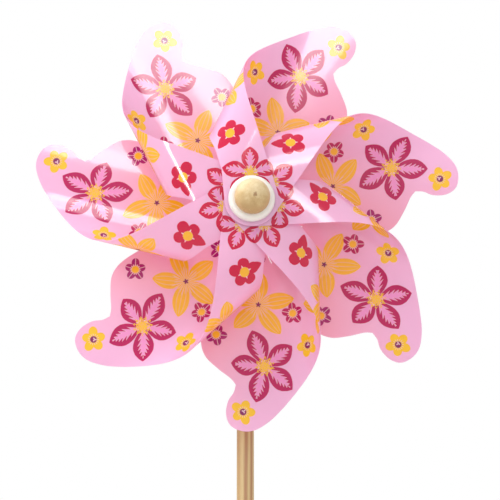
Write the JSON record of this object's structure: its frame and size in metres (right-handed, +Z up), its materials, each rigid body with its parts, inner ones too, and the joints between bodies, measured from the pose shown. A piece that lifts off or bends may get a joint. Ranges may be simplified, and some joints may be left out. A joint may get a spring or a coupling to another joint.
{
  "type": "whirligig",
  "caption": "Garden whirligig: printed plastic foil blades curled forward to a hub that spins freely on a turned wooden peg at the top of a round wooden stake.",
  "frame": {"origin": "middle of the stake's flat lower end", "axes": "+Z up along the stake, -Y is the front that faces the wind, +X to the right seen from the front"},
  "size_m": [0.2971, 0.1048, 0.7387],
  "materials": {
    "stake_wood": "planed, unvarnished",
    "peg_wood": "turned and sanded, unvarnished",
    "hub_plastic": "satin white",
    "printed_foil": "glossy, translucent pink with a flower print"
  },
  "bodies": {
    "stand": {"stake": "stake_wood", "axle_peg": "peg_wood", "stand_off": "hub_plastic"},
    "wheel": {"hub_sleeve": "hub_plastic", "front_cap": "hub_plastic", "rear_cap": "hub_plastic", "blade_1": "printed_foil", "blade_2": "printed_foil", "blade_3": "printed_foil", "blade_4": "printed_foil", "blade_5": "printed_foil", "blade_6": "printed_foil", "blade_7": "printed_foil"}
  },
  "joints": [
    {"name": "wheel_spin", "type": "hinge", "parent": "stand", "child": "wheel", "pos_m": [0, -0.024, 0.6], "axis": [0, -1, 0], "continuous": true}
  ]
}
